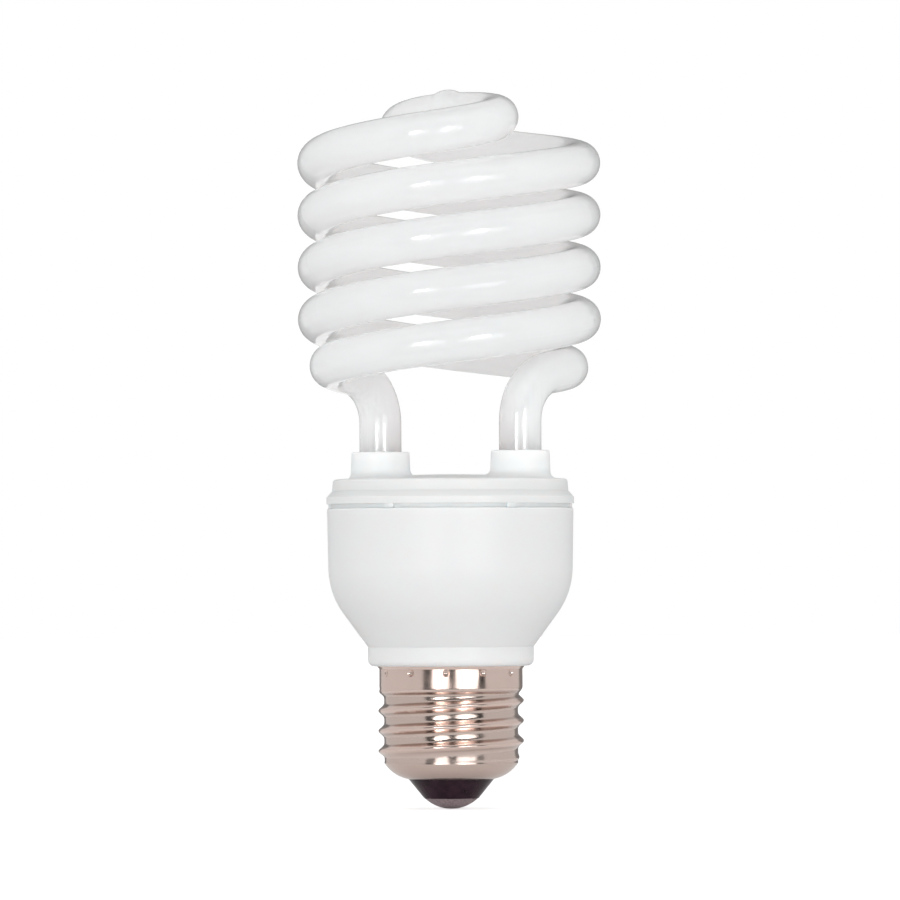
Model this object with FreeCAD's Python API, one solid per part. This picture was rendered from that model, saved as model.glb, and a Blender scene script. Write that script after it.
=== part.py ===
import FreeCAD
import Part
import math
import os

# Spiral compact fluorescent lamp with a medium screw base, in millimetres and degrees.
# The origin is the tip of the centre contact, +Z runs up the lamp's axis,
# and the strand that ends in the front right leg (+X, -Y) is the one that is laid out below.
# Heights stack up from the contact, so every piece follows the one that it stands on.

# Centre contact
contact_d = 9.6
contact_dome = 1.9
eyelet_d = 3.0
eyelet_bore = 1.6
eyelet_length = 5.6

# Glass insulator of the base
insulator_brim = 0.1
insulator_inset = 0.2
insulator_height = 3.5
insulator_wall = 1.6
insulator_rim = 1.2

# Screw shell
shell_sheet = 0.3
thread_pitch = 3.629
thread_crest_d = 26.2
thread_root_d = 24.1
thread_length = 13.3
thread_start_angle = -7.3
thread_crest_share = 0.36
thread_runout = 1.5
lip_d = 15.9
shoulder_height = 2.85
shoulder_ledge = 0.3
shoulder_inset = 0.0
shoulder_round = 6.5
band_d = 25.8
band_height = 3.35
roll_line = 0.05
rim_flare = 0.4
rim_height = 0.5
stake_count = 12
stake_ball_d = 1.6
stake_depth = 0.35
stake_below_rim = 0.65
stake_first_angle = 26.0

# Ballast housing
housing_d = 44.4
housing_height = 28.4
housing_wall = 1.5
housing_draft = 1.0
bowl_slope = 54.0
bowl_round = 14.5
neck_d = 29.9
neck_height = 3.5
neck_edge = 1.2
rim_edge = 0.3
spigot_wall = 1.4
board_ribs = 4
rib_thick = 1.2
rib_depth = 2.6
rib_length = 8.0

# Tube cover
parting_gap = 0.8
parting_depth = 0.85
lug_count = 6
lug_width = 1.8
lug_inset = 0.3
flange_overhang = 0.1
flange_height = 1.2
bevel_height = 1.1
step_inset = 0.9
step_taper = 0.2
step_height = 2.1
step_edge = 0.5
plate_rise = 0.9
plate_wall = 1.6
skirt_length = 4.2
skirt_wall = 1.3
collar_wall = 1.2
collar_taper = 0.25
collar_height = 4.2
collar_edge = 0.4
collar_fillet = 1.2
collar_lip = 2.0
sleeve_wall = 1.15
sleeve_length = 2.5

# Glass tube
tube_d = 7.6
coil_d = 54.6
strand_pitch = 18.8
whole_turns = 2
crown_angle = 75.0
crown_rise = 4.95
crown_bow_r = 55.0
crown_tilt = 3.0
crown_swell = 0.6
crown_fillet = 2.0
inward_bend_r = 12.5
drop_bend_r = 9.0
leg_edge = 0.85
leg_angle = -31.4
leg_straight = 5.1
leg_tail = 8.4
cement_thick = 0.7

# Ballast board and what is soldered to it: the places are shares of the board's radius
board_thick = 1.6
lead_d = 0.7
lead_tail = 1.0
capacitor_at = (0.0, 0.22)
capacitor_d = 10.0
capacitor_length = 16.0
capacitor_groove = 0.5
capacitor_leads = 5.0
choke_at = (-0.49, -0.2)
choke_width = 10.0
choke_height = 10.0
choke_depth = 5.0
choke_leg = 2.4
choke_yoke = 1.8
bobbin_wall = 0.5
bobbin_flange = 0.7
bobbin_reach = 1.7
winding_inset = 0.3
toroid_at = (0.3, -0.25)
toroid_d = 7.6
toroid_bore = 4.0
toroid_height = 3.6
toroid_coils = 3
toroid_wire = 0.5
transistor_reach = 0.71
transistor_angles = (-76.0, -36.0)
transistor_size = (6.4, 2.4, 7.6)
transistor_pitch = 2.2
transistor_standoff = 1.2
film_edge = 0.6
resonant_reach = 0.68
resonant_angle = 6.0
resonant_size = (8.2, 3.4, 7.6)
resonant_pitch = 5.0
blocking_reach = 0.69
blocking_angle = 98.0
blocking_size = (7.2, 3.2, 6.8)
blocking_pitch = 5.0
diode_pairs = ((-0.2, -0.66), (-0.62, 0.26))
diode_rows = 3.4
diode_d = 2.2
diode_length = 4.2
diode_pitch = 6.6
filter_at = (0.43, 0.5)
filter_d = 6.0
filter_height = 7.0
filter_flange = 0.9
filter_waist = 3.0
fuse_at = (-0.05, -0.3)
fuse_d = 2.0
fuse_length = 4.0
fuse_pitch = 6.0
pin_size = 1.0
pin_height = 4.0
pin_below = 2.0
pin_inset = 3.3
pin_spread = 28.0
wire_d = 0.5
wrap_height = 0.9
supply_wire_d = 0.8
supply_bend_r = 2.0
live_at = (0.03, -0.09)
neutral_angle = 23.0

# Clearances
shell_fit = 0.1
spigot_relief = 0.2
cover_fit = 0.1
board_fit = 0.3
glass_fit = 0.25
bond_gap = 0.05
lead_fit = 0.1

V = FreeCAD.Vector
origin = V(0, 0, 0)
up = V(0, 0, 1)

# Heights of the seats, worked out from the contact upwards
insulator_z = contact_dome
shell_z = insulator_z + insulator_height
shoulder_z = shell_z + shoulder_height
thread_z = shoulder_z + shoulder_ledge
band_z = thread_z + thread_length
rim_z = band_z + band_height
housing_z = rim_z + rim_height
spigot_z = band_z + spigot_relief
seam_z = housing_z + housing_height
flange_z = seam_z + parting_gap
step_z = flange_z + flange_height + bevel_height
plate_z = step_z + step_height
crown_plate_z = plate_z + plate_rise
collar_z = crown_plate_z + collar_height
tube_end_z = collar_z - leg_tail
board_top_z = seam_z - skirt_length
board_z = board_top_z - board_thick

# Shared radii
tube_r = tube_d / 2
coil_r = (coil_d - tube_d) / 2
band_r = band_d / 2
rim_r = band_r + rim_flare
shoulder_r = thread_root_d / 2 - shoulder_inset
spigot_r = band_r - shell_sheet - shell_fit
housing_inner_r = housing_d / 2 - housing_wall
parting_r = housing_d / 2 - parting_depth
flange_r = housing_d / 2 + flange_overhang
step_r = housing_d / 2 - step_inset
step_top_r = step_r - step_taper
draft_per_mm = math.tan(math.radians(housing_draft))
skirt_r = housing_inner_r - draft_per_mm * skirt_length - cover_fit
board_r = housing_inner_r - draft_per_mm * (skirt_length + board_thick) - board_fit
bore_r = tube_r + glass_fit
pocket_r = tube_r + cement_thick + bond_gap
sleeve_r = pocket_r + sleeve_wall
collar_mouth_r = bore_r + collar_wall
collar_foot_r = collar_mouth_r + collar_taper
leg_r = step_top_r - collar_foot_r - leg_edge


def outline(corners):
    """Closed wire through (r, z) corners, rounded at those that carry a third value, a radius."""
    points = [V(corner[0], 0, corner[1]) for corner in corners]
    spans = []
    for i, corner in enumerate(points):
        radius = corners[i][2] if len(corners[i]) > 2 else 0
        to_last = (points[i - 1] - corner).normalize()
        to_next = (points[(i + 1) % len(points)] - corner).normalize()
        half_angle = to_last.getAngle(to_next) / 2
        reach = radius / math.tan(half_angle)
        inward = (to_last + to_next).normalize() if radius else origin
        middle = corner + inward * (radius / math.sin(half_angle) - radius)
        spans.append((corner + to_last * reach, middle, corner + to_next * reach, radius))
    edges = []
    for i, (start, middle, end, radius) in enumerate(spans):
        if radius:
            edges.append(Part.Arc(start, middle, end).toShape())
        following = spans[(i + 1) % len(spans)][0]
        if end.distanceToPoint(following) > 1e-6:
            edges.append(Part.LineSegment(end, following).toShape())
    return Part.Wire(edges)


def turned(corners):
    """Solid of revolution about the lamp's axis."""
    return Part.Face(outline(corners)).revolve(origin, up, 360)


def rod(diameter, x, y, z_low, z_high):
    return Part.makeCylinder(diameter / 2, z_high - z_low, V(x, y, z_low))


def block(size, x, y, z_low, turn=0.0):
    """Box of width, depth and height standing on z_low, centred on (x, y) and turned about its own axis."""
    width, depth, height = size
    box = Part.makeBox(width, depth, height, V(x - width / 2, y - depth / 2, z_low))
    box.rotate(V(x, y, 0), up, turn)
    return box


def polar(radius, angle):
    return radius * math.cos(math.radians(angle)), radius * math.sin(math.radians(angle))


def wire_along(points, diameter, bend_r):
    """Round wire along straight runs, with an arc of the given radius at each inner point."""
    edges = []
    start = points[0]
    for before, corner, after in zip(points, points[1:], points[2:]):
        back = (before - corner).normalize()
        ahead = (after - corner).normalize()
        half_angle = back.getAngle(ahead) / 2
        reach = bend_r / math.tan(half_angle)
        inward = (back + ahead).normalize()
        middle = corner + inward * (bend_r / math.sin(half_angle) - bend_r)
        edges.append(Part.LineSegment(start, corner + back * reach).toShape())
        edges.append(Part.Arc(corner + back * reach, middle, corner + ahead * reach).toShape())
        start = corner + ahead * reach
    edges.append(Part.LineSegment(start, points[-1]).toShape())
    section = Part.Wire(Part.makeCircle(diameter / 2, points[0], points[1] - points[0]))
    return Part.Wire(edges).makePipeShell([section], True, False)


# Glass tube: its centre line is a chain of tangent arcs, so every face is part of a torus.
slope = strand_pitch / (2 * math.pi * coil_r)
slope_angle = math.atan(slope)
drop_run = drop_bend_r * (1 - math.sin(slope_angle))
drop_fall = drop_bend_r * math.cos(slope_angle)


def inward_turn():
    """Angle of the inward bend that brings the leg onto its circle, and the leg's angle behind its start."""
    offset = coil_r - inward_bend_r
    arm = math.hypot(inward_bend_r, drop_run)
    lead = math.atan2(drop_run, inward_bend_r)
    turn = math.acos((leg_r**2 - offset**2 - arm**2) / (2 * offset * arm)) - lead
    x = offset + arm * math.cos(turn + lead)
    y = -arm * math.sin(turn + lead)
    return turn, math.atan2(y, x)


def on_circle(centre, radius, angle, z, fall):
    """Point of a clockwise circle in plan, with the direction of the tube there."""
    place = centre + V(radius * math.cos(angle), radius * math.sin(angle), z)
    return place, V(math.sin(angle), -math.cos(angle), -fall).normalize()


def strand_stations(tilt):
    """Points and directions down one strand, from the top of the crown to the bend into its leg."""
    turn, leg_behind = inward_turn()
    leave = math.radians(leg_angle) - leg_behind - 2 * math.pi * whole_turns
    enter = math.radians(crown_angle)
    bend_z = collar_z + leg_straight + drop_fall
    leave_z = bend_z + slope * inward_bend_r * turn
    enter_z = leave_z + strand_pitch * (enter - leave) / (2 * math.pi)
    half_r = coil_r / 2
    length = math.pi * half_r
    square = 1 / (2 * crown_bow_r)
    fourth = (slope * length - 3 * crown_rise + square * length**2) / length**4
    cube = (crown_rise - square * length**2 - fourth * length**4) / length**3
    stations = []
    crown_steps = 4
    for i in range(crown_steps):
        along = length * i / crown_steps
        left = 1 - along / length
        z = enter_z + crown_rise - square * along**2 - cube * along**3 - fourth * along**4
        z += tilt * along * left**2
        fall = 2 * square * along + 3 * cube * along**2 + 4 * fourth * along**3
        fall -= tilt * left * (3 * left - 2)
        centre = V(half_r * math.cos(enter), half_r * math.sin(enter), 0)
        stations.append(on_circle(centre, half_r, enter + math.pi - along / half_r, z, fall))
    widest_step = math.radians(70)
    coil_steps = math.ceil((enter - leave) / widest_step)
    for i in range(coil_steps):
        share = i / coil_steps
        angle = enter + (leave - enter) * share
        stations.append(on_circle(origin, coil_r, angle, enter_z + (leave_z - enter_z) * share, slope))
    offset = coil_r - inward_bend_r
    centre = V(offset * math.cos(leave), offset * math.sin(leave), 0)
    for share in (0.0, 0.5, 1.0):
        z = leave_z + (bend_z - leave_z) * share
        stations.append(on_circle(centre, inward_bend_r, leave - turn * share, z, slope))
    return stations


def biarc_joint(start, start_way, end, end_way):
    """Point where two arcs meet that leave start and reach end in the given directions."""
    chord = end - start
    along = chord.dot(start_way + end_way)
    spread = 2 * (1 - start_way.dot(end_way))
    reach = (math.sqrt(along**2 + spread * chord.Length**2) - along) / spread
    return (start + start_way * reach + end - end_way * reach) * 0.5


def arc_about(start, way, end):
    """Centre, axis and angle in degrees of the arc that leaves start along way and passes through end."""
    chord = end - start
    ahead = chord.dot(way)
    across = chord - way * ahead
    side = across.Length
    across.normalize()
    centre = start + across * (chord.Length**2 / (2 * side))
    return centre, way.cross(across), math.degrees(2 * math.atan2(side, ahead))


def leg_top():
    """Where the bend into the front right leg ends, on the leg's own axis."""
    return V(*polar(leg_r, leg_angle), collar_z + leg_straight)


def facing(place, way):
    """Placement at a point of the tube, with z along the tube and x upwards."""
    return FreeCAD.Placement(place, FreeCAD.Rotation(up, way.cross(up), way, "ZXY"))


def strand_faces(tilt):
    """Wall of the strand to the front right leg, whose crown rises from the middle by tilt."""
    stations = strand_stations(tilt)
    arcs = []
    for (start, start_way), (end, end_way) in zip(stations, stations[1:]):
        joint = biarc_joint(start, start_way, end, end_way)
        arcs.append(arc_about(start, start_way, joint))
        centre, axis, angle = arc_about(end, end_way * -1, joint)
        arcs.append((centre, axis * -1, angle))
    arcs.append(arc_about(*stations[-1], leg_top()))
    section = Part.makeCircle(tube_r, origin, up)
    section.Placement = facing(*stations[0])
    faces = []
    for centre, axis, angle in arcs:
        faces.append(section.revolve(centre, axis, angle))
        section = section.copy()
        section.rotate(centre, axis, angle)
    to_end = V(0, 0, tube_end_z - leg_top().z)
    faces.append(section.extrude(to_end))
    section = section.copy()
    section.translate(to_end)
    return [*faces, Part.Face(Part.Wire(section))]


def spiral_tube():
    tilt = math.tan(math.radians(crown_tilt))
    other = strand_faces(tilt)
    for face in other:
        face.rotate(origin, up, 180)
    shell = Part.Shell(strand_faces(-tilt) + other)
    shell.sewShape()
    tube = Part.Solid(shell)
    if tube.Volume < 0:
        tube.reverse()
    crown, way = strand_stations(-tilt)[0]
    swell_r = tube_r + crown_swell
    swell = Part.makeSphere(swell_r)
    swell.Placement = facing(crown, way)
    tube = tube.fuse(swell)
    joints = [edge for edge in tube.Edges if edge.Length > tube_d and all(
        abs(end.Point.distanceToPoint(crown) - swell_r) < 0.001 for end in edge.Vertexes)]
    return tube.makeFillet(crown_fillet, joints)


def both_legs(shape):
    """A shape at the front right leg and its like at the other leg."""
    other = shape.copy()
    other.rotate(origin, up, 180)
    return [shape, other]


def at_leg(corners):
    """Solid of revolution about the axis of the front right leg."""
    shape = turned(corners)
    shape.translate(V(*polar(leg_r, leg_angle), 0))
    return shape


# Cover: domed plate with two collars, and a skirt that plugs into the housing.
def is_foot(edge, legs):
    """Whether an edge is the ring where a collar stands on the plate."""
    if edge.Length < math.pi * collar_mouth_r:
        return False
    centre = edge.CenterOfMass
    beside = min(math.hypot(centre.x - leg.x, centre.y - leg.y) for leg in legs)
    return beside < tube_r and plate_z - plate_wall < centre.z < collar_z - collar_height / 2


def tube_cover():
    dome_r = (step_top_r**2 + plate_rise**2) / (2 * plate_rise)
    dome = Part.makeSphere(dome_r, V(0, 0, crown_plate_z - dome_r))
    body = turned([
        (0, crown_plate_z), (step_top_r, crown_plate_z), (step_top_r, plate_z), (step_r, step_z),
        (flange_r, flange_z + flange_height), (flange_r, flange_z), (parting_r, flange_z),
        (parting_r, seam_z), (skirt_r, seam_z), (skirt_r, board_top_z), (0, board_top_z),
    ]).common(dome)
    rim = [edge for edge in body.Edges if abs(edge.CenterOfMass.z - plate_z) < 1e-3]
    body = body.makeFillet(step_edge, rim)
    hollow_r = skirt_r - skirt_wall
    hollow_dome = Part.makeSphere(dome_r, V(0, 0, crown_plate_z - plate_wall - dome_r))
    hollow = turned([
        (0, crown_plate_z), (hollow_r, crown_plate_z), (hollow_r, board_top_z), (0, board_top_z),
    ]).common(hollow_dome)
    foot_z = plate_z - plate_wall
    collar = at_leg([
        (0, foot_z), (collar_foot_r, foot_z), (collar_mouth_r, collar_z, collar_edge), (0, collar_z),
    ])
    body = body.fuse(both_legs(collar)).removeSplitter()
    legs = [vertex.Point for vertex in both_legs(Part.Vertex(leg_top()))]
    feet = [edge for edge in body.Edges if is_foot(edge, legs)]
    body = body.makeFillet(collar_fillet, feet)
    sleeve_z = plate_z - plate_wall - sleeve_length
    sleeve = at_leg([(0, sleeve_z), (sleeve_r, sleeve_z), (sleeve_r, plate_z), (0, plate_z)])
    bore = at_leg([
        (0, sleeve_z), (pocket_r, sleeve_z), (pocket_r, collar_z - collar_lip),
        (bore_r, collar_z - collar_lip), (bore_r, collar_z), (0, collar_z),
    ])
    body = body.fuse(parting_lugs()).cut(hollow)
    return body.fuse(both_legs(sleeve)).cut(both_legs(bore)).removeSplitter()


def parting_lugs():
    """Lugs that bridge the groove between the cover and the housing."""
    ring_r = flange_r - lug_inset
    ring = rod(2 * ring_r, 0, 0, seam_z, flange_z)
    lugs = []
    for i in range(lug_count):
        angle = 360 * i / lug_count
        lugs.append(block((ring_r, lug_width, parting_gap), *polar(ring_r / 2, angle), seam_z, angle))
    middle = rod(2 * skirt_r, 0, 0, seam_z, flange_z)
    return [lug.common(ring).cut(middle) for lug in lugs]


def tube_cement():
    """Rings that bond the legs into the collars' pockets."""
    low = plate_z - plate_wall - sleeve_length
    inner = tube_r + bond_gap
    high = collar_z - collar_lip - bond_gap
    ring = at_leg([(inner, low), (inner + cement_thick - bond_gap, low),
                   (inner + cement_thick - bond_gap, high), (inner, high)])
    return Part.makeCompound(both_legs(ring))


# Housing: drafted wall, rounded bowl, neck, and the spigot that the screw shell is staked to.
def bowl_corners(inset):
    """Corners of the bowl's outline from the seam down to the neck, moved inwards by inset."""
    steep = math.tan(math.radians(bowl_slope))
    along = inset / math.sin(math.radians(bowl_slope))
    neck_r = neck_d / 2
    neck_top_z = housing_z + neck_height
    rim_r = housing_d / 2 - inset
    drafted = draft_per_mm * (seam_z - neck_top_z)
    run = (rim_r + along - neck_r - drafted) / (1 - draft_per_mm * steep)
    corner_z = neck_top_z + run * steep
    foot_z = neck_top_z + (along - inset) * steep
    return [(rim_r, seam_z), (neck_r + run - along, corner_z, bowl_round - inset), (neck_r - inset, foot_z)]


def ballast_housing():
    floor_z = housing_z + housing_wall
    neck_r = neck_d / 2
    bore = spigot_r - spigot_wall
    outer = bowl_corners(0.0)
    inner = bowl_corners(housing_wall)
    foot = [(neck_r, housing_z, neck_edge), (0, housing_z)]
    solid = turned([(0, seam_z), (*outer[0], rim_edge), *outer[1:], *foot])
    hollow = turned([(0, seam_z), *inner, (neck_r - housing_wall, floor_z), (0, floor_z)])
    body = solid.cut(hollow)
    spigot = turned([(0, floor_z), (spigot_r, floor_z), (spigot_r, spigot_z), (0, spigot_z)])
    body = body.fuse(spigot).cut(rod(2 * bore, 0, 0, spigot_z, floor_z))
    rib_r = housing_inner_r - rib_depth / 2
    ribs = []
    for i in range(board_ribs):
        angle = 360 * (i + 0.5) / board_ribs
        size = (rib_depth + housing_wall, rib_thick, rib_length)
        ribs.append(block(size, *polar(rib_r, angle), board_z - rib_length, angle))
    carriers = [rib.common(solid) for rib in ribs]
    pockets = [ball(stake_ball_d + 2 * (shell_sheet + bond_gap), angle) for angle in stake_angles()]
    return body.fuse(carriers).cut(pockets).removeSplitter()


# Screw shell: rolled sheet whose radius rises and falls along a helix between the shoulder and the band.
def stake_angles():
    return [stake_first_angle + 360 * i / stake_count for i in range(stake_count)]


def ball(diameter, angle):
    """Ball of a crimp stake, centred so that the stake sinks into the band by its depth."""
    x, y = polar(band_r - stake_depth + stake_ball_d / 2, angle)
    return Part.makeSphere(diameter / 2, V(x, y, rim_z - stake_below_rim))


def ease(share):
    """Smooth step from 0 to 1 as share goes from 0 to 1."""
    share = min(1.0, max(0.0, share))
    return share**2 * (3 - 2 * share)


def thread_radius(angle, z):
    """Radius of the thread, with narrow round crests, eased into the shoulder below and the band above."""
    turns = angle / 360 - (z - thread_z) / thread_pitch
    narrow = math.log(0.5) / math.log((1 + math.cos(math.pi * thread_crest_share)) / 2)
    crest = ((1 + math.cos(2 * math.pi * turns)) / 2) ** narrow
    radius = (thread_root_d + (thread_crest_d - thread_root_d) * crest) / 2
    above = ease((z - thread_z) / thread_runout)
    below = ease((band_z - z) / thread_runout)
    radius = shoulder_r - roll_line + (radius - shoulder_r + roll_line) * above
    return band_r - roll_line + (radius - band_r + roll_line) * below


def thread_core(inset):
    """Solid inside the thread's surface, which is one smooth face through points on the rolled sheet."""
    columns = 24
    rows = round(12 * thread_length / thread_pitch)
    grid = []
    for i in range(columns + 1):
        angle = 360 * i / columns
        levels = [thread_z + thread_length * j / rows for j in range(rows + 1)]
        radii = [thread_radius(angle - thread_start_angle, z) - inset for z in levels]
        grid.append([V(*polar(radius, angle), z) for radius, z in zip(radii, levels)])
    surface = Part.BSplineSurface()
    surface.interpolate(grid)
    wall = surface.toShape()
    rims = [[edge for edge in wall.Edges if abs(edge.BoundBox.ZMax - z) + abs(edge.BoundBox.ZMin - z) < 1]
            for z in (thread_z, band_z)]
    shell = Part.Shell([wall, *[Part.Face(Part.Wire(rim)) for rim in rims]])
    shell.sewShape()
    core = Part.Solid(shell)
    if core.Volume < 0:
        core.reverse()
    return core


def shell_form(inset):
    """Solid inside the screw shell's outer face, or inside its inner face when inset by the sheet."""
    top = turned([(0, band_z), (band_r - inset, band_z), (band_r - inset, rim_z), (rim_r - inset, housing_z),
                  (0, housing_z)])
    start = V(shoulder_r, 0, shoulder_z)
    end = V(lip_d / 2, 0, shell_z)
    chord = end - start
    outward = V(-chord.z, 0, chord.x).normalize()
    if outward.z > 0:
        outward = outward * -1
    rise = shoulder_round - math.sqrt(shoulder_round**2 - chord.Length**2 / 4)
    middle = (start + end) * 0.5 + outward * rise
    centre = middle - outward * shoulder_round
    shrink = 1 - inset / shoulder_round
    start, middle, end = [centre + (spot - centre) * shrink for spot in (start, middle, end)]
    edges = [Part.Arc(start, middle, end).toShape()]
    stops = [end, V(0, 0, end.z), V(0, 0, thread_z), V(shoulder_r - inset, 0, thread_z), start]
    edges += [Part.LineSegment(a, b).toShape() for a, b in zip(stops, stops[1:])]
    bottom = Part.Face(Part.Wire(edges)).revolve(origin, up, 360)
    return bottom.fuse([thread_core(inset), top]).removeSplitter()


def screw_shell():
    lip = rod(lip_d, 0, 0, shell_z - shell_sheet, shoulder_z)
    dents = [ball(stake_ball_d, angle) for angle in stake_angles()]
    bumps = [ball(stake_ball_d + 2 * shell_sheet, angle) for angle in stake_angles()]
    outer = shell_form(0.0)
    inner = shell_form(shell_sheet).cut(bumps)
    return outer.cut(inner).cut(lip).cut(dents)


def base_insulator():
    lip_r = lip_d / 2 - bond_gap
    seat_z = shoulder_z + bond_gap
    cup_r = shoulder_r - 2 * shell_sheet
    cup_z = seat_z + insulator_rim
    throat_z = shell_z + shell_sheet
    return turned([
        (eyelet_d / 2 + bond_gap, insulator_z), (contact_d / 2 + insulator_brim, insulator_z),
        (lip_d / 2 - insulator_inset, shell_z), (lip_r, throat_z), (cup_r, seat_z), (cup_r, cup_z),
        (cup_r - insulator_wall, cup_z), (eyelet_d + insulator_wall, shell_z),
        (eyelet_d / 2 + bond_gap, shell_z),
    ])


def centre_contact():
    radius = contact_d / 2
    ball_r = (radius**2 + contact_dome**2) / (2 * contact_dome)
    top_z = contact_dome + eyelet_length
    dome = Part.makeSphere(ball_r, V(0, 0, ball_r))
    cap = dome.common(rod(contact_d, 0, 0, 0, contact_dome))
    eyelet = rod(eyelet_d, 0, 0, contact_dome / 2, top_z)
    return cap.fuse(eyelet).cut(rod(eyelet_bore, 0, 0, contact_dome, top_z)).removeSplitter()


# Ballast: every piece hangs from the board's underside by leads that pass through drilled holes.
def leaded(body, spots, low_z):
    """Body with its leads, which run from low_z up through the board."""
    leads = [rod(lead_d, x, y, low_z, board_top_z + lead_tail) for x, y in spots]
    return body.fuse(leads).removeSplitter()


def turned_spots(spots, x, y, angle):
    """Plan points of a piece at (x, y) that is turned by angle."""
    turn = FreeCAD.Rotation(up, angle)
    return [tuple(turn.multVec(V(*spot, 0)) + V(x, y, 0))[:2] for spot in spots]


def on_board(share):
    """Plan point that lies at the given shares of the board's radius."""
    return share[0] * board_r, share[1] * board_r


def pair(pitch):
    return [(-pitch / 2, 0), (pitch / 2, 0)]


def bulk_capacitor():
    x, y = on_board(capacitor_at)
    radius = capacitor_d / 2
    groove_z = board_z - 3 * capacitor_groove
    can = turned([
        (0, board_z), (radius, board_z, capacitor_groove / 2), (radius, groove_z),
        (radius - capacitor_groove, groove_z - capacitor_groove), (radius, groove_z - 2 * capacitor_groove),
        (radius, board_z - capacitor_length, capacitor_groove), (0, board_z - capacitor_length),
    ])
    can.translate(V(x, y, 0))
    spots = turned_spots(pair(capacitor_leads), x, y, 0)
    return leaded(can, spots, board_z - capacitor_groove), spots


def choke_core():
    x, y = on_board(choke_at)
    low = board_z - choke_height
    core = block((choke_width, choke_depth, choke_height), x, y, low)
    window = (choke_width - choke_leg) / 2 - choke_yoke
    offset = (choke_leg + window) / 2
    size = (window, choke_depth, choke_height - 2 * choke_yoke)
    windows = [block(size, x + side * offset, y, low + choke_yoke) for side in (-1, 1)]
    return core.cut(windows)


def choke_bobbin():
    x, y = on_board(choke_at)
    low = board_z - choke_height + choke_yoke + bond_gap
    height = choke_height - 2 * choke_yoke - 2 * bond_gap
    inner = (choke_leg + 2 * bond_gap, choke_depth + 2 * bond_gap, height)
    barrel = (inner[0] + 2 * bobbin_wall, inner[1] + 2 * bobbin_wall, height)
    flange = (choke_width - 2 * choke_yoke - 2 * bond_gap, choke_depth + 2 * bobbin_reach, bobbin_flange)
    flanges = [block(flange, x, y, z) for z in (low, low + height - bobbin_flange)]
    body = block(barrel, x, y, low).fuse(flanges).cut(block(inner, x, y, low)).removeSplitter()
    post_y = choke_depth / 2 + bobbin_reach / 2
    post_x = flange[0] / 2 - lead_d
    spots = turned_spots([(i * post_x, j * post_y) for i in (-1, 1) for j in (-1, 1)], x, y, 0)
    return leaded(body, spots, low + height - bobbin_flange), spots


def choke_winding():
    x, y = on_board(choke_at)
    low = board_z - choke_height + choke_yoke + 2 * bond_gap + bobbin_flange
    height = choke_height - 2 * choke_yoke - 4 * bond_gap - 2 * bobbin_flange
    wall = 2 * (bobbin_wall + 2 * bond_gap)
    inner = block((choke_leg + wall, choke_depth + wall, height), x, y, low)
    width = choke_width - 2 * (choke_yoke + winding_inset)
    coil = block((width, choke_depth + 2 * (bobbin_reach - winding_inset), height), x, y, low)
    corners = [edge for edge in coil.Edges if abs(edge.tangentAt(edge.FirstParameter).z) > 0.99]
    return coil.makeFillet(bobbin_reach, corners).cut(inner)


def drive_toroid():
    x, y = on_board(toroid_at)
    low = board_z - toroid_wire - bond_gap - toroid_height
    ring = rod(toroid_d, x, y, low, low + toroid_height)
    return ring.cut(rod(toroid_bore, x, y, low, low + toroid_height))


def toroid_windings():
    """Loops of insulated wire round the ring, each a flat link with a bore for the ring's section."""
    x, y = on_board(toroid_at)
    low = board_z - toroid_wire - bond_gap - toroid_height
    wall = (toroid_d - toroid_bore) / 2
    mean_r = (toroid_d + toroid_bore) / 4
    outer = (wall + 2 * (toroid_wire + bond_gap), toroid_wire, toroid_height + 2 * (toroid_wire + bond_gap))
    inner = (wall + 2 * bond_gap, toroid_wire, toroid_height + 2 * bond_gap)
    loops = []
    for i in range(toroid_coils):
        angle = 360 * i / toroid_coils
        dx, dy = polar(mean_r, angle)
        link = block(outer, x + dx, y + dy, low - toroid_wire - bond_gap, angle)
        loops.append(link.cut(block(inner, x + dx, y + dy, low - bond_gap, angle)))
    return Part.makeCompound(loops)


def power_transistors():
    bodies = []
    spots = []
    width, depth, height = transistor_size
    top_z = board_z - transistor_standoff
    for angle in transistor_angles:
        x, y = polar(transistor_reach * board_r, angle)
        turn = angle + 90
        legs = turned_spots([(i * transistor_pitch, 0) for i in (-1, 0, 1)], x, y, turn)
        bodies.append(leaded(block((width, depth, height), x, y, top_z - height, turn), legs, top_z - lead_d))
        spots += legs
    return Part.makeCompound(bodies), spots


def film_capacitor(size, pitch, reach, angle):
    """Boxed film capacitor with rounded edges, set along the board's rim."""
    x, y = polar(reach * board_r, angle)
    body = block(size, x, y, board_z - size[2], angle + 90)
    outer_edges = [edge for edge in body.Edges if edge.BoundBox.ZMin < board_z - film_edge]
    body = body.makeFillet(film_edge, outer_edges)
    spots = turned_spots(pair(pitch), x, y, angle + 90)
    return leaded(body, spots, board_z - film_edge), spots


def axial_part(x, y, diameter, length, pitch, angle):
    """Barrel lying under the board, with a lead bent up from each end."""
    z = board_z - diameter / 2
    along = turned_spots(pair(pitch), x, y, angle)
    ends = turned_spots(pair(length), x, y, angle)
    start = V(*ends[0], z)
    body = Part.makeCylinder(diameter / 2, length, start, V(*ends[1], z) - start)
    for end, spot in zip(ends, along):
        route = [V((x + end[0]) / 2, (y + end[1]) / 2, z), V(*spot, z), V(*spot, board_top_z + lead_tail)]
        body = body.fuse(wire_along(route, lead_d, lead_d))
    return body.removeSplitter(), along


def rectifier_diodes():
    parts = []
    for x, y in map(on_board, diode_pairs):
        for side in (-0.5, 0.5):
            parts.append(axial_part(x, y + side * diode_rows, diode_d, diode_length, diode_pitch, 0))
    bodies = Part.makeCompound([body for body, spots in parts])
    return bodies, [spot for body, spots in parts for spot in spots]


def fuse_resistor():
    return axial_part(*on_board(fuse_at), fuse_d, fuse_length, fuse_pitch, 90)


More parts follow.
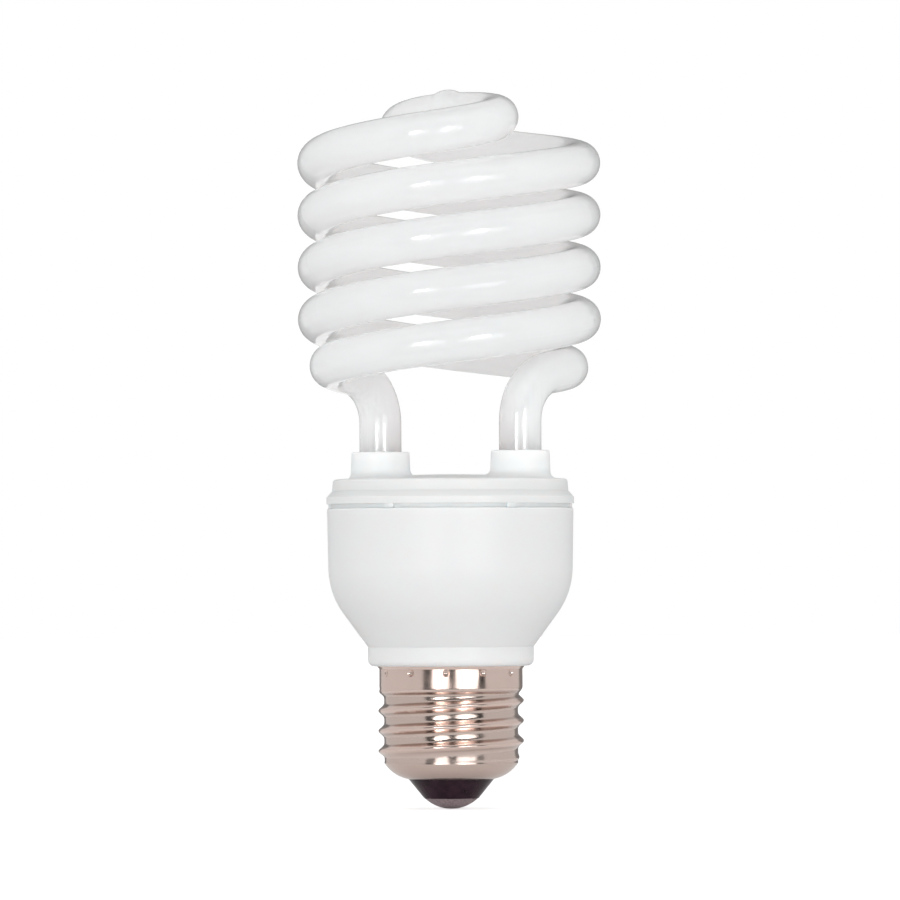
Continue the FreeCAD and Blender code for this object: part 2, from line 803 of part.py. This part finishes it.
def filter_core():
    x, y = on_board(filter_at)
    radius = filter_d / 2
    waist = filter_waist / 2
    low = board_z - filter_height
    drum = turned([
        (0, board_z), (radius, board_z), (radius, board_z - filter_flange), (waist, board_z - filter_flange),
        (waist, low + filter_flange), (radius, low + filter_flange), (radius, low), (0, low),
    ])
    drum.translate(V(x, y, 0))
    spots = turned_spots(pair(filter_waist), x, y, 45)
    return leaded(drum, spots, board_z - filter_flange / 2), spots


def filter_winding():
    x, y = on_board(filter_at)
    low = board_z - filter_height + filter_flange + bond_gap
    high = board_z - filter_flange - bond_gap
    return rod(filter_d - lead_d, x, y, low, high).cut(rod(filter_waist + 2 * bond_gap, x, y, low, high))


def pin_spots():
    near = [polar(board_r - pin_inset, leg_angle + side * pin_spread) for side in (-1, 1)]
    return near + [(-x, -y) for x, y in near]


def wrap_pins():
    size = (pin_size, pin_size, pin_below + board_thick + pin_height)
    return Part.makeCompound([block(size, x, y, board_z - pin_below) for x, y in pin_spots()])


def tube_lead_wires():
    """Wires from the tube's ends, each wound in a close sleeve round its pin."""
    leg = V(leg_top().x, leg_top().y, 0)
    turn_z = board_top_z + pin_height / 2
    inner_r = pin_size / math.sqrt(2) + bond_gap
    ring_r = inner_r + wire_d / 2
    wires = []
    for spot in pin_spots()[:2]:
        pin = V(*spot, 0)
        start = leg + (pin - leg).normalize() * (tube_r / 2)
        stop = pin - (pin - leg).normalize() * ring_r
        route = [start + up * (tube_end_z - bond_gap), start + up * turn_z, stop + up * turn_z]
        span = (pin.x, pin.y, turn_z - wrap_height / 2, turn_z + wrap_height / 2)
        wrap = rod(2 * (inner_r + wire_d), *span)
        wire = wire_along(route, wire_d, wire_d).fuse(wrap).cut(rod(2 * inner_r, *span))
        wires += both_legs(wire.removeSplitter())
    return Part.makeCompound(wires)


def live_wire():
    x, y = on_board(live_at)
    high = shell_z + thread_length
    low = contact_dome + eyelet_length + supply_bend_r
    route = [V(x, y, board_top_z + lead_tail), V(x, y, high), V(0, 0, low), V(0, 0, contact_dome + bond_gap)]
    return wire_along(route, supply_wire_d, supply_bend_r), [(x, y)]


def neutral_wire():
    x, y = polar(spigot_r - spigot_wall - supply_wire_d, neutral_angle)
    turn_z = spigot_z - supply_bend_r
    reach = (thread_root_d / 2 - shell_sheet - supply_wire_d / 2 - bond_gap) / math.hypot(x, y)
    end = V(x * reach, y * reach, turn_z - supply_bend_r)
    route = [V(x, y, board_top_z + lead_tail), V(x, y, turn_z), end]
    return wire_along(route, supply_wire_d, supply_wire_d), [(x, y)]


def ballast_board(lead_spots, wire_spots):
    disc = rod(2 * board_r, 0, 0, board_z, board_top_z)
    holes = [rod(lead_d + 2 * lead_fit, x, y, board_z, board_top_z) for x, y in lead_spots]
    holes += [rod(supply_wire_d + 2 * lead_fit, x, y, board_z, board_top_z) for x, y in wire_spots]
    slot = pin_size + 2 * lead_fit
    holes += [block((slot, slot, board_thick), x, y, board_z) for x, y in pin_spots()]
    return disc.cut(holes)


def lamp():
    leaded_parts = {
        "bulk_capacitor": bulk_capacitor(),
        "choke_bobbin": choke_bobbin(),
        "power_transistors": power_transistors(),
        "resonant_capacitor": film_capacitor(resonant_size, resonant_pitch, resonant_reach, resonant_angle),
        "blocking_capacitor": film_capacitor(blocking_size, blocking_pitch, blocking_reach, blocking_angle),
        "rectifier_diodes": rectifier_diodes(),
        "fuse_resistor": fuse_resistor(),
        "filter_core": filter_core(),
    }
    wires = {"live_wire": live_wire(), "neutral_wire": neutral_wire()}
    lead_spots = [spot for shape, spots in leaded_parts.values() for spot in spots]
    wire_spots = [spot for shape, spots in wires.values() for spot in spots]
    nodes = {
        "spiral_tube": spiral_tube(),
        "tube_cover": tube_cover(),
        "tube_cement": tube_cement(),
        "ballast_housing": ballast_housing(),
        "screw_shell": screw_shell(),
        "base_insulator": base_insulator(),
        "centre_contact": centre_contact(),
        "ballast_board": ballast_board(lead_spots, wire_spots),
        "choke_core": choke_core(),
        "choke_winding": choke_winding(),
        "drive_toroid": drive_toroid(),
        "toroid_windings": toroid_windings(),
        "filter_winding": filter_winding(),
        "wrap_pins": wrap_pins(),
        "tube_lead_wires": tube_lead_wires(),
    }
    nodes.update({name: shape for name, (shape, spots) in {**leaded_parts, **wires}.items()})
    return nodes


os.makedirs("parts", exist_ok=True)
for node, shape in lamp().items():
    shape.exportStep(f"parts/{node}.step")
    print(node, "valid" if shape.isValid() else "NOT VALID", len(shape.Solids), round(shape.Volume, 2))
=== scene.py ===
import math

import bpy
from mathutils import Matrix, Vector

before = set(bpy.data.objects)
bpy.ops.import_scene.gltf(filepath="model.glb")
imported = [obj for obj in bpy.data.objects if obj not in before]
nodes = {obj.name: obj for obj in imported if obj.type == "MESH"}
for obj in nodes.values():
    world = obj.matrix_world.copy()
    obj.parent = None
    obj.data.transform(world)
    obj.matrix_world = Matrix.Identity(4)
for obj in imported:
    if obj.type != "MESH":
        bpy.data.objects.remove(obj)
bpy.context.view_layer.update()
bpy.context.scene.view_settings.view_transform = "Standard"
bpy.context.scene.cycles.diffuse_bounces = 10  # white pieces light each other
mm = 0.001
plainDetail, fineDetail = 2.0, 3.0  # octaves of a noise
print("frame loaded,", len(nodes), "pieces")


def metres(lengths):
    return [length * mm for length in lengths]


class Flow:
    # a socket of a node tree: sums on it add Math nodes
    def __init__(self, tree, socket=None):
        self.tree = tree
        self.socket = socket

    def make(self, kind, settings=None, inputs=None, out=0):
        made = self.tree.nodes.new(kind)
        for name, value in (settings or {}).items():
            setattr(made, name, value)
        for name, value in (inputs or {}).items():
            if isinstance(value, Flow):
                self.tree.links.new(value.socket, made.inputs[name])
            else:
                made.inputs[name].default_value = value
        return Flow(self.tree, made.outputs[out] if made.outputs else None)

    def maths(self, operation, first, second=0.0):
        return self.make("ShaderNodeMath", {"operation": operation}, {0: first, 1: second})

    def __add__(self, other):
        return self.maths("ADD", self, other)

    def __radd__(self, other):
        return self.maths("ADD", other, self)

    def __sub__(self, other):
        return self.maths("SUBTRACT", self, other)

    def __rsub__(self, other):
        return self.maths("SUBTRACT", other, self)

    def __mul__(self, other):
        return self.maths("MULTIPLY", self, other)

    def __rmul__(self, other):
        return self.maths("MULTIPLY", other, self)

    def __pow__(self, other):
        return self.maths("POWER", self, other)

    # the node kinds that most finishes need
    def place(self):
        return self.make("ShaderNodeTexCoord", out="Object")

    def vector(self, x, y, z):
        return self.make("ShaderNodeCombineXYZ", inputs={0: x, 1: y, 2: z})

    def axes(self, vector):
        split = self.make("ShaderNodeSeparateXYZ", inputs={0: vector})
        sockets = split.socket.node.outputs
        return [Flow(self.tree, sockets[name]) for name in ("X", "Y", "Z")]

    def noise(self, vector, size, detail=plainDetail):
        inputs = {"Vector": vector, "Scale": 1 / size, "Detail": detail}
        return self.make("ShaderNodeTexNoise", inputs=inputs)

    def ease(self, value, edges):
        low, high = edges
        settings = {"interpolation_type": "SMOOTHSTEP"}
        return self.make("ShaderNodeMapRange", settings, {0: value, 1: low, 2: high})

    def between(self, share, edges):
        low, high = edges
        return low + share * (high - low)

    def blend(self, share, first, second):
        settings = {"data_type": "RGBA"}
        return self.make("ShaderNodeMix", settings, {0: share, 6: first, 7: second}, out=2)

    def bump(self, height, strength, depth):
        inputs = {"Height": height, "Strength": strength, "Distance": depth}
        return self.make("ShaderNodeBump", inputs=inputs)

    def surface(self, inputs):
        shader = self.make("ShaderNodeBsdfPrincipled", inputs=inputs)
        self.make("ShaderNodeOutputMaterial", inputs={"Surface": shader})


def newFinish(name):
    material = bpy.data.materials.new(name)
    material.use_nodes = True
    material.node_tree.nodes.clear()
    return material, Flow(material.node_tree)


def dress(material, *names):
    for name in names:
        slots = nodes[name].data.materials
        slots.clear()
        slots.append(material)


def rgb(red, green, blue):
    return (red, green, blue, 1.0)


# camera: a long lens a little below the middle of the lamp, tipped up to it
camera = {
    "stand": (0.0, -1370.0, 41.4),
    "aim": (0.0, 0.0, 64.6),
    "lens": 304.2,
    "sensor": 36.0,
    "roll": -0.25,  # degrees
    "clipEnd": 50.0,  # metres
}


def setCamera():
    data = bpy.data.cameras.new("camera")
    data.lens = camera["lens"]
    data.sensor_width = camera["sensor"]
    data.clip_end = camera["clipEnd"]
    holder = bpy.data.objects.new("camera", data)
    bpy.context.scene.collection.objects.link(holder)
    stand = Vector(camera["stand"]) * mm
    way = Vector(camera["aim"]) * mm - stand
    turn = way.to_track_quat("-Z", "Y").to_euler()
    turn.rotate_axis("Z", math.radians(camera["roll"]))
    holder.location = stand
    holder.rotation_euler = turn
    bpy.context.scene.camera = holder


setCamera()
print("camera set")


# coated glass: white phosphor behind a clear glossy wall, sizes in mm
tubeLook = {
    "white": rgb(0.977, 0.968, 0.97),
    "shade": rgb(0.972, 0.958, 0.958),
    "cloud": 9.0,
    "cloudEdges": (0.35, 0.7),
    "leg": (66.0, 80.0),  # up the lamp, where the legs' darker tone ends: partly their thinner coat, partly painted shade from the housing and coil beside them
    "legTintAndShade": rgb(0.92, 0.909, 0.912),
    "legStreak": rgb(0.81, 0.785, 0.79),
    "streak": 0.9,
    "streakRun": 40.0,
    "streakEdges": (0.35, 0.7),
    "innerShadeTint": rgb(0.64, 0.612, 0.618),  # painted shade: the legs' inner sides, which face each other, are darker
    "innerShadeSide": (10.0, 13.5),  # off the axis
    "wave": 6.0,
    "waveDepth": 0.02,
    "waveStrength": 0.15,
    "gloss": (0.02, 0.04),
    "ior": 1.62,  # outer and inner wall shine together
    "reach": (36.0, 31.0, 30.0),  # how far light travels through the coat
}


def coatedGlass():
    look = tubeLook
    material, flow = newFinish("coatedGlass")
    place = flow.place()
    x, y, height = flow.axes(place)
    cloud = flow.ease(flow.noise(place, look["cloud"] * mm), look["cloudEdges"])
    coat = flow.blend(cloud, look["white"], look["shade"])
    across = 1 / (look["streak"] * mm)
    run = 1 / (look["streakRun"] * mm)
    drawn = flow.vector(x * across, y * across, height * run)
    streak = flow.ease(flow.noise(drawn, 1.0), look["streakEdges"])
    # painted shade: the legs are darker below the coil, partly for their thinner coat and partly for the
    # light that the housing and coil keep from them
    outerCoatAndShade = flow.blend(streak, look["legTintAndShade"], look["legStreak"])
    # painted shade on the legs' inner sides, darker towards the axis
    innerShade = 1 - flow.ease(flow.maths("ABSOLUTE", x), metres(look["innerShadeSide"]))
    legCoatAndShade = flow.blend(innerShade, outerCoatAndShade, look["innerShadeTint"])
    leg = 1 - flow.ease(height, metres(look["leg"]))
    wave = flow.noise(place, look["wave"] * mm)
    flow.surface({
        "Base Color": flow.blend(leg, coat, legCoatAndShade),
        "Roughness": flow.between(wave, look["gloss"]),
        "IOR": look["ior"],
        "Subsurface Weight": 1.0,
        "Subsurface Radius": look["reach"],
        "Subsurface Scale": mm,
        "Normal": flow.bump(wave, look["waveStrength"], look["waveDepth"] * mm),
    })
    return material


# satin plastic: cover and housing are moulded from the same resin; the cover is darker as painted shade
# against the light on its top, and its collars and groove are lighter as painted light, sizes in mm
plasticLook = {
    # painted shade: the cover is darker than the housing, against the light that falls on its top
    "cover": rgb(0.775, 0.784, 0.781),
    "housing": rgb(0.8, 0.803, 0.804),
    "paintedLight": rgb(0.9, 0.912, 0.91),  # painted light: the cover's collars, under the coil, and its groove, under the flange, are lighter
    "collarFoot": (60.0, 61.4),  # up the lamp
    "grooveTop": (54.85, 55.0),
    "drift": 0.985,
    "cloud": 14.0,
    "cloudEdges": (0.35, 0.75),
    "grain": 0.35,
    "grainDepth": 0.006,
    "grainStrength": 0.25,
    "gloss": (0.36, 0.46),
    "ior": 1.49,
    "reach": (1.2, 1.05, 1.0),  # how far light travels through the resin
}


def satinPlastic(name, colour, grooveTop=None):
    look = plasticLook
    material, flow = newFinish(name)
    place = flow.place()
    height = flow.axes(place)[2]
    # painted light on the collars and in the groove, where the coil and flange shade them
    paintedLight = flow.ease(height, metres(look["collarFoot"]))
    if grooveTop:
        paintedLight = paintedLight + (1 - flow.ease(height, metres(grooveTop)))
    drift = rgb(*[share * look["drift"] for share in colour[:3]])
    cloud = flow.noise(place, look["cloud"] * mm)
    resin = flow.blend(flow.ease(cloud, look["cloudEdges"]), colour, drift)
    grain = flow.noise(place, look["grain"] * mm, fineDetail)
    flow.surface({
        "Base Color": flow.blend(paintedLight, resin, look["paintedLight"]),
        "Roughness": flow.between(cloud, look["gloss"]),
        "IOR": look["ior"],
        "Subsurface Weight": 1.0,
        "Subsurface Radius": look["reach"],
        "Subsurface Scale": mm,
        "Normal": flow.bump(grain, look["grainStrength"], look["grainDepth"] * mm),
    })
    return material


# nickel on rolled brass sheet: warm, with drawn lines round the axis, a duller thread root and painted
# shade on the thread's flanks, sizes in mm
shellLook = {
    "crest": rgb(0.888, 0.702, 0.63),
    "root": rgb(0.75, 0.612, 0.55),
    "paintedFlankShade": rgb(0.585, 0.47, 0.422),  # painted shade: darker lines where the thread turns
    "crestFrom": (12.2, 13.0),  # off the axis
    "flankFoot": (12.15, 12.35),
    "flankTop": (12.5, 12.75),
    "flankFrom": (9.5, 11.5),  # up the lamp
    "line": 0.12,
    "lineTurn": 1.625,  # line noise to a radian
    "lineDepth": 0.003,
    "lineStrength": 0.35,
    "cloud": 5.0,
    "cloudEdges": (0.3, 0.75),
    "tarnish": 0.35,
    "gloss": (0.11, 0.23),
    "lineShare": 0.4,  # of the gloss, and the clouds have the rest
}


def nickelledSheet():
    look = shellLook
    material, flow = newFinish("nickelledSheet")
    place = flow.place()
    x, y, z = flow.axes(place)
    radius = (x * x + y * y) ** 0.5
    cloud = flow.ease(flow.noise(place, look["cloud"] * mm, fineDetail), look["cloudEdges"])
    crest = flow.ease(radius, metres(look["crestFrom"])) * (1 - look["tarnish"] * cloud)
    plate = flow.blend(crest, look["root"], look["crest"])
    # painted shade: darker lines on the thread's flanks, up from the bottom turn
    foot = flow.ease(radius, metres(look["flankFoot"]))
    top = flow.ease(radius, metres(look["flankTop"]))
    paintedFlankShade = flow.ease(z, metres(look["flankFrom"])) * foot * (1 - top)
    across = 1 / (look["line"] * mm)
    around = flow.maths("ARCTAN2", y, x) * look["lineTurn"]
    lines = flow.noise(flow.vector(around, radius * across, z * across), 1.0)
    dullness = cloud * (1 - look["lineShare"]) + lines * look["lineShare"]
    flow.surface({
        "Base Color": flow.blend(paintedFlankShade, plate, look["paintedFlankShade"]),
        "Metallic": 1.0,
        "Roughness": flow.between(dullness, look["gloss"]),
        "Normal": flow.bump(lines, look["lineStrength"], look["lineDepth"] * mm),
    })
    return material


# black pressed glass of the base, sizes in mm
insulatorLook = {
    "black": rgb(0.012, 0.004, 0.008),
    "purple": rgb(0.03, 0.011, 0.02),
    "cloud": 2.5,
    "cloudEdges": (0.3, 0.7),
    "dimple": 0.9,
    "dimpleDepth": 0.03,
    "dimpleStrength": 0.3,
    "gloss": (0.1, 0.24),
    "ior": 1.52,
    "shine": 0.2,
}


def blackGlass():
    look = insulatorLook
    material, flow = newFinish("blackGlass")
    place = flow.place()
    cloud = flow.noise(place, look["cloud"] * mm, fineDetail)
    dimple = flow.noise(place, look["dimple"] * mm)
    flow.surface({
        "Base Color": flow.blend(flow.ease(cloud, look["cloudEdges"]), look["black"], look["purple"]),
        "Roughness": flow.between(cloud, look["gloss"]),
        "IOR": look["ior"],
        "Specular IOR Level": look["shine"],
        "Normal": flow.bump(dimple, look["dimpleStrength"], look["dimpleDepth"] * mm),
    })
    return material


# soldered contact: grey tin over the eyelet, a little lumpy, sizes in mm
contactLook = {
    "tin": rgb(0.53, 0.43, 0.45),
    "dull": rgb(0.32, 0.255, 0.27),
    "pit": 0.3,
    "pitEdges": (0.35, 0.7),
    "lump": 1.6,
    "lumpDepth": 0.08,
    "lumpStrength": 0.5,
    "gloss": (0.22, 0.45),
}


def solderedContact():
    look = contactLook
    material, flow = newFinish("solderedContact")
    place = flow.place()
    lump = flow.noise(place, look["lump"] * mm)
    pit = flow.noise(place, look["pit"] * mm, fineDetail)
    flow.surface({
        "Base Color": flow.blend(flow.ease(pit, look["pitEdges"]), look["tin"], look["dull"]),
        "Metallic": 1.0,
        "Roughness": flow.between(pit, look["gloss"]),
        "Normal": flow.bump(lump, look["lumpStrength"], look["lumpDepth"] * mm),
    })
    return material


dress(coatedGlass(), "spiral_tube")
dress(satinPlastic("coverPlastic", plasticLook["cover"], plasticLook["grooveTop"]), "tube_cover")
dress(satinPlastic("housingPlastic", plasticLook["housing"]), "ballast_housing")
dress(nickelledSheet(), "screw_shell")
dress(blackGlass(), "base_insulator")
dress(solderedContact(), "centre_contact")
print("outer finishes done")


# pieces inside the housing: two tones, gloss, grain size in mm, metal share
innerLooks = {
    "lampCement": (rgb(0.62, 0.59, 0.5), rgb(0.52, 0.48, 0.4), 0.85, 0.5, 0.0),
    "boardLaminate": (rgb(0.36, 0.21, 0.09), rgb(0.28, 0.16, 0.065), 0.6, 1.2, 0.0),
    "shrinkSleeve": (rgb(0.012, 0.015, 0.03), rgb(0.02, 0.024, 0.045), 0.25, 3.0, 0.0),
    "ferrite": (rgb(0.03, 0.03, 0.032), rgb(0.055, 0.055, 0.057), 0.7, 0.25, 0.0),
    "bobbinResin": (rgb(0.012, 0.012, 0.012), rgb(0.02, 0.02, 0.02), 0.4, 0.6, 0.0),
    "enamelledCopper": (rgb(0.52, 0.17, 0.05), rgb(0.4, 0.11, 0.03), 0.3, 0.4, 0.9),
    "mouldedEpoxy": (rgb(0.015, 0.015, 0.016), rgb(0.025, 0.025, 0.026), 0.55, 0.2, 0.0),
    "dippedCoat": (rgb(0.36, 0.05, 0.025), rgb(0.28, 0.035, 0.018), 0.3, 1.5, 0.0),
    "lacqueredCeramic": (rgb(0.2, 0.3, 0.25), rgb(0.16, 0.25, 0.21), 0.4, 0.8, 0.0),
    "tinnedWire": (rgb(0.6, 0.6, 0.58), rgb(0.48, 0.48, 0.46), 0.3, 0.3, 1.0),
    "siliconeSleeve": (rgb(0.6, 0.59, 0.55), rgb(0.52, 0.5, 0.46), 0.5, 0.7, 0.0),
}
innerPieces = {
    "lampCement": ("tube_cement",),
    "boardLaminate": ("ballast_board",),
    "shrinkSleeve": ("bulk_capacitor",),
    "ferrite": ("choke_core", "drive_toroid", "filter_core"),
    "bobbinResin": ("choke_bobbin",),
    "enamelledCopper": ("choke_winding", "toroid_windings", "filter_winding"),
    "mouldedEpoxy": ("power_transistors", "rectifier_diodes"),
    "dippedCoat": ("resonant_capacitor", "blocking_capacitor"),
    "lacqueredCeramic": ("fuse_resistor",),
    "tinnedWire": ("wrap_pins", "tube_lead_wires"),
    "siliconeSleeve": ("live_wire", "neutral_wire"),
}
innerGrain = {
    "edges": (0.3, 0.7),
    "gloss": (0.8, 1.2),  # times the finish's own
    "depth": 0.02,
    "strength": 0.3,
}


def innerFinish(name):
    light, dark, gloss, grainSize, metal = innerLooks[name]
    material, flow = newFinish(name)
    grain = flow.noise(flow.place(), grainSize * mm, fineDetail)
    flow.surface({
        "Base Color": flow.blend(flow.ease(grain, innerGrain["edges"]), light, dark),
        "Metallic": metal,
        "Roughness": gloss * flow.between(grain, innerGrain["gloss"]),
        "Normal": flow.bump(grain, innerGrain["strength"], innerGrain["depth"] * mm),
    })
    return material


for finish, names in innerPieces.items():
    dress(innerFinish(finish), *names)
print("inner finishes done")


# stage: white floor and surroundings, sizes in mm
stage = {
    "floorHalf": 4000.0,
    "floorColour": rgb(0.95, 0.95, 0.95),
    "floorGlow": 0.5,
    "around": 1.26,  # light from the sides
    "overhead": 0.46,
    "overheadFrom": (0.4, 0.65),  # sine of the height where it takes over
}

# grey room that only reflections see, sizes in mm
room = {
    "near": -1500.0,  # dark wall behind the camera
    "far": 3000.0,  # dark wall with an opening on the white surroundings
    "opening": (250.0, 420.0),  # half its width, and its top
    "left": -1500.0,
    "right": 2300.0,
    "low": -1200.0,
    "high": 1500.0,
    "gap": 10.0,  # from the far end and the ceiling to what hangs before them
    "nearLevel": 0.05,
    "farLevel": 0.22,
    "wallLevel": 0.62,
    "floorLevel": 0.5,
    "table": 70.0,  # half of the pale table top
    "tableLift": 0.1,
    "tableTone": rgb(0.95, 0.95, 0.95),
    "hatch": 600.0,  # half the dark square overhead
    "hatchLevel": 0.12,
}

# pale oval cards round the softboxes: azimuths in degrees, seen by reflections
cardCorners = 40
cards = {
    "left": {"spread": (-30.0, -2.5), "reach": 1340.0, "low": -260.0, "high": 440.0, "level": 1.9},
    "right": {"spread": (7.0, 44.0), "reach": 1340.0, "low": -260.0, "high": 440.0, "level": 1.9},
}


def sheet(name, corners, material):
    mesh = bpy.data.meshes.new(name)
    face = tuple(range(len(corners)))
    mesh.from_pydata([Vector(corner) * mm for corner in corners], [], [face])
    mesh.materials.append(material)
    made = bpy.data.objects.new(name, mesh)
    bpy.context.scene.collection.objects.link(made)
    return made


def square(half, z):
    return [(-half, -half, z), (half, -half, z), (half, half, z), (-half, half, z)]


def seenDirectly(flow):
    path = flow.make("ShaderNodeLightPath").socket.node.outputs
    kinds = ("Is Camera Ray", "Is Glossy Ray", "Is Transmission Ray")
    seen, mirrored, through = [Flow(flow.tree, path[kind]) for kind in kinds]
    return flow.maths("MINIMUM", seen + mirrored + through, 1.0)


def setFloor():
    material, flow = newFinish("floor")
    plain = flow.make("ShaderNodeBsdfDiffuse", inputs={"Color": stage["floorColour"]})
    level = seenDirectly(flow) * stage["floorGlow"]
    glow = flow.make("ShaderNodeEmission", inputs={"Strength": level})
    both = flow.make("ShaderNodeAddShader", inputs={0: plain, 1: glow})
    flow.make("ShaderNodeOutputMaterial", inputs={"Surface": both})
    floor = sheet("floor", square(stage["floorHalf"], 0), material)
    floor.visible_glossy = False  # reflections see the table top and the room


def setSurroundings():
    world = bpy.data.worlds.new("surroundings")
    world.use_nodes = True
    world.node_tree.nodes.clear()
    bpy.context.scene.world = world
    flow = Flow(world.node_tree)
    way = flow.make("ShaderNodeTexCoord", out="Generated")
    height = flow.maths("ABSOLUTE", flow.axes(way)[2])
    over = flow.ease(height, stage["overheadFrom"])
    soft = flow.between(over, (stage["around"], stage["overhead"]))
    level = soft + seenDirectly(flow) * (1 - soft)  # plain white where it is seen
    white = flow.make("ShaderNodeBackground", inputs={"Color": rgb(1, 1, 1), "Strength": level})
    flow.make("ShaderNodeOutputWorld", inputs={"Surface": white})


def setWall(name, corners, level=None):
    material, flow = newFinish(name)
    if level is None:
        face = flow.make("ShaderNodeBsdfDiffuse", inputs={"Color": room["tableTone"]})
    else:
        face = flow.make("ShaderNodeEmission", inputs={"Strength": level})
    flow.make("ShaderNodeOutputMaterial", inputs={"Surface": face})
    wall = sheet(name, corners, material)
    wall.visible_camera = False
    wall.visible_diffuse = False
    wall.visible_shadow = False
    wall.visible_transmission = False


def setRoom():
    near, far, left, right = room["near"], room["far"], room["left"], room["right"]
    low, high, gap = room["low"], room["high"], room["gap"]
    front = [(left, near, low), (right, near, low), (right, near, high), (left, near, high)]
    back = [(x, far, z) for x, y, z in front]
    setWall("wall.near", front, room["nearLevel"])
    sides = ("floor", "right", "ceiling", "left")
    for i, name in enumerate(sides):
        after = (i + 1) % len(sides)
        level = room["floorLevel"] if name == "floor" else room["wallLevel"]
        setWall("wall." + name, [front[i], front[after], back[after], back[i]], level)
    setWall("table", square(room["table"], room["tableLift"]))
    half, top = room["opening"]
    end = far - gap
    panels = {"farLeft": (left, -half, low), "farRight": (half, right, low), "farTop": (-half, half, top)}
    for name, (start, stop, foot) in panels.items():
        corners = [(start, end, foot), (stop, end, foot), (stop, end, high), (start, end, high)]
        setWall("wall." + name, corners, room["farLevel"])
    setWall("wall.hatch", square(room["hatch"], high - gap), room["hatchLevel"])


def setCard(name, card):
    reach, low, high = card["reach"], card["low"], card["high"]
    azimuths = [math.radians(edge) for edge in card["spread"]]
    first, last = [Vector((math.sin(turn), -math.cos(turn), 0)) * reach for turn in azimuths]
    middle = (first + last) / 2 + Vector((0, 0, (low + high) / 2))
    across = (last - first) / 2
    up = Vector((0, 0, (high - low) / 2))
    turns = [math.tau * i / cardCorners for i in range(cardCorners)]
    corners = [middle + across * math.cos(turn) + up * math.sin(turn) for turn in turns]
    setWall("card." + name, corners, card["level"])


setFloor()
setSurroundings()
setRoom()
for name, card in cards.items():
    setCard(name, card)
print("stage set")


# two oval softboxes either side of the camera: degrees and mm
softboxes = {
    "left": {"azimuth": -21.0, "rise": 6.4, "width": 285.0, "height": 350.0, "level": 7.7},
    "right": {"azimuth": 22.5, "rise": 6.4, "width": 310.0, "height": 350.0, "level": 7.7},
}
softboxReach = 1200.0
lampMiddle = Vector((0.0, 0.0, 65.0)) * mm


def setSoftbox(name, box):
    data = bpy.data.lights.new("softbox." + name, "AREA")
    data.shape = "ELLIPSE"
    data.size = box["width"] * mm
    data.size_y = box["height"] * mm
    face = math.pi / 4 * data.size * data.size_y
    data.energy = box["level"] * math.pi * face  # level is the face's own brightness
    holder = bpy.data.objects.new(data.name, data)
    bpy.context.scene.collection.objects.link(holder)
    azimuth, rise = math.radians(box["azimuth"]), math.radians(box["rise"])
    flat = math.cos(rise)
    way = Vector((math.sin(azimuth) * flat, -math.cos(azimuth) * flat, math.sin(rise)))
    holder.location = lampMiddle + way * softboxReach * mm
    holder.rotation_euler = (-way).to_track_quat("-Z", "Y").to_euler()


for name, box in softboxes.items():
    setSoftbox(name, box)
print("lights set")
